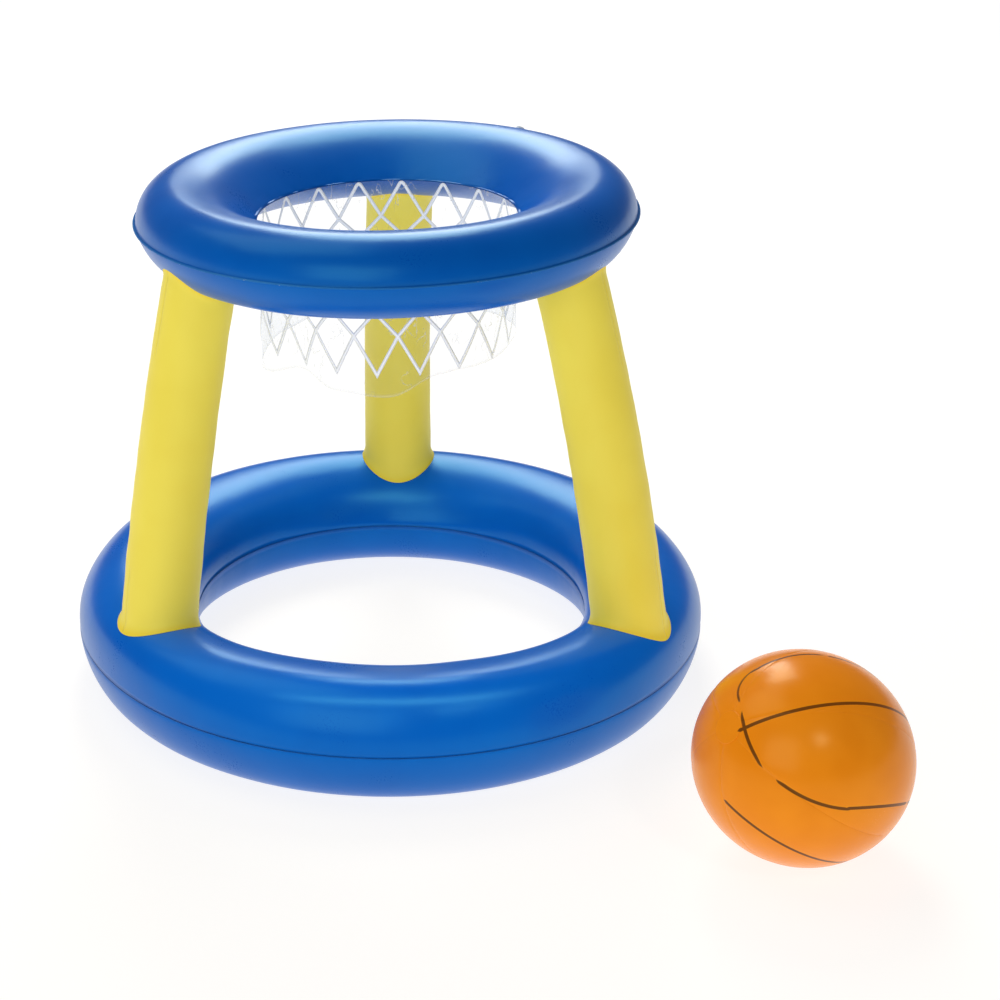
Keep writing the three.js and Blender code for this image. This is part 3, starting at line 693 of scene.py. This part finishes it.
# %% Ball sizes
gores = [f"ball_gore_{i + 1}" for i in range(6)]
ball_middle, ball_half = middle_of(*gores)
ball_equator = 92 * mm
ball_pole = 99.5 * mm
pole_azimuth, pole_elevation = math.radians(-148.3), math.radians(32.5)
seam_turn = math.radians(15)
pole_opening = 11 * mm
seam_depth, seam_reach = 0.3 * mm, 1.4 * mm
ball_frame = (
    Matrix.Translation(ball_middle) @ Matrix.Rotation(pole_azimuth, 4, "Z")
    @ Matrix.Rotation(math.pi / 2 - pole_elevation, 4, "Y")
)
valve_pole = -(ball_frame.to_3x3() @ Vector((0, 0, 1)))
print("ball centre", [round(c, 4) for c in ball_middle], "half size", [round(c, 4) for c in ball_half])

# %% [markdown]
# ### The printed lines
# The dark lines start round one pole and run to the other, as a basketball's do. Each is drawn as one or two
# arcs, and an arc lies in a plane that cuts the ball. On the side that shows, three points name an arc: its
# start, a point on the way and its end. Round the back, the arc goes on the way it was heading and ends
# round the valve. The shader measures how far the surface is from an arc's plane, and from the chord
# between its ends, which is where the line tapers off.

# %% Orange vinyl with its lines
orange, deep_orange = (0.89, 0.27, 0.008, 1), (0.83, 0.235, 0.005, 1)
orange_glow, line_brown = (0.86, 0.25, 0.006, 1), (0.022, 0.006, 0.003, 1)
printed_lines = {
    "middle": [((-0.648, -0.535, 0.543), (0.175, -0.516, 0.838), (0.939, 0.062, 0.34))],
    "upper": [((-0.611, -0.345, 0.713), (-0.620, -0.179, 0.764), (-0.455, -0.014, 0.890)),
              ((-0.530, -0.062, 0.846), (-0.263, 0.058, 0.963), (0.159, 0.154, 0.975))],
    "front": [((-0.365, -0.880, 0.303), (-0.086, -0.984, 0.155), (0.330, -0.944, 0.028)),
              ((0.240, -0.970, 0.048), (0.574, -0.819, -0.019), (0.886, -0.415, -0.205))],
    "lower": [((-0.76, -0.649, -0.04), (-0.148, -0.883, -0.445), (0.413, -0.489, -0.768))],
}
side_line = ((-0.604, -0.403, 0.688), (-0.57, -0.63, 0.53), (-0.448, -0.822, 0.351))
line_width = 3.2 * mm
line_taper, line_softness = 0.03, 0.004
lines_end, lines_whole = 0.982, 0.979


def arcs_of(stretches):
    """The start, the first heading and the end of each arc of a line, with one more arc round the back."""
    arcs = []
    for points in stretches:
        start, way, end = (Vector(point).normalized() for point in points)
        arcs.append((start, way - start, end))
        heading = (way - start).cross(end - start).cross(end)
        if heading.dot(end - start) < 0:
            heading.negate()
    arcs.append((end, heading, valve_pole))
    return arcs


def orange_with_lines():
    material, tree, surface, place = new_material("orange_vinyl")
    patches = cloud(place, 50 * mm)
    peel = cloud(place, 1.6 * mm, 1.0)
    ripple = cloud(place, 24 * mm)
    offset = place.vector("SUBTRACT", list(ball_middle))
    direction = offset.vector("NORMALIZE", (0, 0, 0))
    start, way, end = (Vector(point).normalized() for point in side_line)
    arcs = [(start, way - start, end)]
    for stretches in printed_lines.values():
        arcs += arcs_of(stretches)
    lines = None
    for start, heading, end in arcs:
        along = (end - start).normalized()
        normal = heading.cross(along).normalized()
        inward = (heading - along * heading.dot(along)).normalized()
        height = normal.dot(start)
        steepness = math.sqrt(1 - height * height)
        from_plane = direction.vector("DOT_PRODUCT", list(normal), 1) - height
        past_chord = direction.vector("DOT_PRODUCT", list(inward), 1) - inward.dot(start)
        half = past_chord.smooth(-0.002, line_taper) * (line_width / 2 / ball_equator * steepness)
        inside = half - from_plane.maths("ABSOLUTE")
        mark = inside.smooth(0.0, line_softness) * past_chord.smooth(-0.001, 0.002)
        lines = mark if lines is None else lines.maths("MAXIMUM", mark)
    lines = lines * direction.vector("DOT_PRODUCT", list(valve_pole), 1).smooth(lines_end, lines_whole)
    body = patches.smooth(0.3, 0.7).mix(deep_orange, orange)
    plug_in(
        surface,
        Base_Color=lines.mix(body, line_brown),
        Roughness=patches * 0.04 + 0.22 + lines * 0.08 + peel * 0.04,
        Specular_IOR_Level=0.3,
        Specular_Tint=(1, 0.9, 0.4, 1),
        # Emission: a painted glow of the orange's own colour, which lifts the ball's shaded side.
        Emission_Color=orange_glow,
        Emission_Strength=0.14,
        Normal=bump(ripple + peel * 0.03, 0.2, 0.8 * mm),
    )
    return material


orange_vinyl = orange_with_lines()


# %% Make the gores
def gore(index, columns=32, rows=96):
    start = math.asin(pole_opening / ball_equator)
    half = math.pi / len(gores)
    seam = seam_turn + (index + 0.5) * math.tau / len(gores)

    def place(across, along):
        angle = start + (math.pi - 2 * start) * along
        side = 2 * across - 1
        eased = math.sin(side * math.pi / 2)
        to_seam = ball_equator * math.sin(angle) * half * (1 - abs(eased))
        drawn_in = seam_depth * math.exp(-to_seam / seam_reach)
        equator = (ball_equator - drawn_in) * math.sin(angle)
        azimuth = seam + half * eased
        height = (ball_pole - drawn_in) * math.cos(angle)
        return ball_frame @ Vector((equator * math.cos(azimuth), equator * math.sin(azimuth), height))

    bm = bent_grid(columns, rows, place)
    name = gores[index]
    return finish_piece(bm, name + "_skin", orange_vinyl, "ball", [name], film)


for index in range(len(gores)):
    gore(index)

# %% [markdown]
# ### Pole patches
# The gores leave a small round opening at each pole, and a patch is welded over it. The patch that faces
# away from the camera carries the valve.


# %% Make the pole patches
def pole_height(radius):
    return ball_pole * math.sqrt(1 - (radius / ball_equator) ** 2)


patch_radius, patch_edge = 14 * mm, 0.3 * mm
patch_steps, patch_spin_steps = 24, 64
valve_hole = 6 * mm
flat_radius = 7.7 * mm
patch_lift = 0.15 * mm


def pole_patch(name, hole, turn):
    line = []
    for i in range(patch_steps + 1):
        radius = patch_radius + (hole - patch_radius) * i / patch_steps
        line.append((radius, pole_height(max(radius, flat_radius)) + patch_lift + film))
    edge = [(patch_radius + patch_edge, pole_height(patch_radius) + patch_lift / 2)]
    bm = spun(edge + line, patch_spin_steps)
    bm.transform(ball_frame @ Matrix.Rotation(turn, 4, "X"))
    return finish_piece(bm, name + "_skin", orange_vinyl, "ball", [name], film)


pole_patch("ball_plain_pole_patch", 0.0, 0.0)
pole_patch("ball_valve_pole_patch", valve_hole, math.pi)

# %% [markdown]
# ## Valves
# A valve is turned work: a welded seat, a stem that pushes in until it is flush, a check flap inside and a
# plug. The frame's own pieces are fine enough for such small work, so here they only get their finish.


# %% Valve finish
def soft_valve_vinyl():
    material, tree, surface, place = new_material("valve_vinyl")
    haze = cloud(place, 6 * mm)
    grain = cloud(place, 0.7 * mm)
    plug_in(
        surface,
        Base_Color=haze.mix((0.62, 0.72, 0.80, 1), (0.78, 0.85, 0.90, 1)),
        Roughness=haze * 0.1 + 0.25,
        Normal=bump(grain, 0.1, 0.1 * mm),
    )
    return material


valve_vinyl = soft_valve_vinyl()
for valve in valve_names:
    for part in ("seat", "stem", "flap", "plug"):
        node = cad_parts[f"{valve}_valve_{part}"]
        node.data.materials.clear()
        node.data.materials.append(valve_vinyl)
print("valve nodes", len(valve_names) * 4)

# %% [markdown]
# ## Studio
# The set was photographed on seamless white. A pale floor catches the soft contact shadows. A tall box
# behind draws the bright bands along the crowns, a strip in front, linked to the base ring alone, draws its
# low band, and a round lamp aimed at the ball makes its bloom. A dim room keeps the blue deep.

# %% Floor and lights
floor_size = 30.0
bm = bmesh.new()
bmesh.ops.create_grid(bm, x_segments=1, y_segments=1, size=floor_size / 2)
floor_mesh = bpy.data.meshes.new("floor")
bm.to_mesh(floor_mesh)
bm.free()
floor = bpy.data.objects.new("floor", floor_mesh)
bpy.context.scene.collection.objects.link(floor)
floor_material, _, floor_surface, floor_place = new_material("pale_floor")
far_off = floor_place.vector("LENGTH", (0, 0, 0), 1).smooth(0.9, 3.2)
glow = far_off.mix((0.85, 0.84, 0.83, 1), (0.95, 0.95, 0.95, 1))
plug_in(floor_surface, Base_Color=(0.28, 0.27, 0.24, 1), Roughness=0.9, Specular_IOR_Level=0.05)
plug_in(floor_surface, Emission_Color=glow, Emission_Strength=1.0)
floor_mesh.materials.append(floor_material)

world = bpy.data.worlds.new("studio")
bpy.context.scene.world = world
world.use_nodes = True
world.node_tree.nodes["Background"].inputs["Color"].default_value = (1, 1, 1, 1)
world.node_tree.nodes["Background"].inputs["Strength"].default_value = 0.12


def aim_light(light, place, aim):
    """Puts a light at a place, turned towards a point."""
    lamp = bpy.data.objects.new(light.name, light)
    lamp.location = place
    lamp.rotation_euler = (Vector(aim) - Vector(place)).to_track_quat("-Z", "Y").to_euler()
    lamp.visible_camera = False
    bpy.context.scene.collection.objects.link(lamp)
    return lamp


def soft_box(name, place, aim, width, height, power):
    light = bpy.data.lights.new(name, "AREA")
    light.shape = "RECTANGLE"
    light.size = width
    light.size_y = height
    light.energy = power
    return aim_light(light, place, aim)


set_middle = base_ring.centre + Vector((0, 0, 0.2))
set_x, set_y = base_ring.centre.x, base_ring.centre.y
soft_box("back_box", (set_x - 0.12, set_y + 1.6, 1.9), set_middle, 0.9, 1.7, 36)
soft_box("fill_box", (set_x - 0.9, set_y - 3.0, 1.7), set_middle, 2.0, 2.0, 27)
soft_box("top_box", (set_x - 1.3, 0.2, 2.8), set_middle, 2.0, 2.0, 20)
front_strip = soft_box("front_strip", (set_x + 0.1, set_y - 1.2, 2.2), set_middle, 2.6, 0.35, 26)
base_only = bpy.data.collections.new("base_only")
for name in ("base_ring_upper", "base_ring_lower"):
    base_only.objects.link(bpy.data.objects[name])
front_strip.light_linking.receiver_collection = base_only

bloom = bpy.data.lights.new("ball_spot", "SPOT")
bloom.energy = 95
bloom.shadow_soft_size = 0.3
bloom.spot_size = math.radians(9)
bloom.spot_blend = 0.8
aim_light(bloom, ball_middle + Vector((0.82, -1.67, 1.81)), ball_middle)

# %% [markdown]
# ## Camera
# The camera stands where the photograph was taken from: a little above the set, looking down at it, with a
# long lens.

# %% Camera
camera_place = base_ring.centre + Vector((83.83, -2162.47, 1063.68)) * mm
camera_yaw, camera_pitch, camera_roll = 0.0096, 0.4133, 0.0196
lens_pixels = 2435.5
frame_pixels = 1000
camera_data = bpy.data.cameras.new("camera")
camera_data.sensor_width = 36
camera_data.lens = lens_pixels * camera_data.sensor_width / frame_pixels
camera = bpy.data.objects.new("camera", camera_data)
bpy.context.scene.collection.objects.link(camera)
forward = Vector((
    math.sin(camera_yaw) * math.cos(camera_pitch),
    math.cos(camera_yaw) * math.cos(camera_pitch),
    -math.sin(camera_pitch),
))
level = Vector((math.cos(camera_yaw), -math.sin(camera_yaw), 0))
upright = level.cross(forward)
right = level * math.cos(camera_roll) + upright * math.sin(camera_roll)
up = upright * math.cos(camera_roll) - level * math.sin(camera_roll)
camera.matrix_world = Matrix.Translation(camera_place) @ Matrix((right, up, -forward)).transposed().to_4x4()
bpy.context.scene.camera = camera
bpy.context.scene.view_settings.view_transform = "Standard"
print("lens", round(camera_data.lens, 2), "mm")
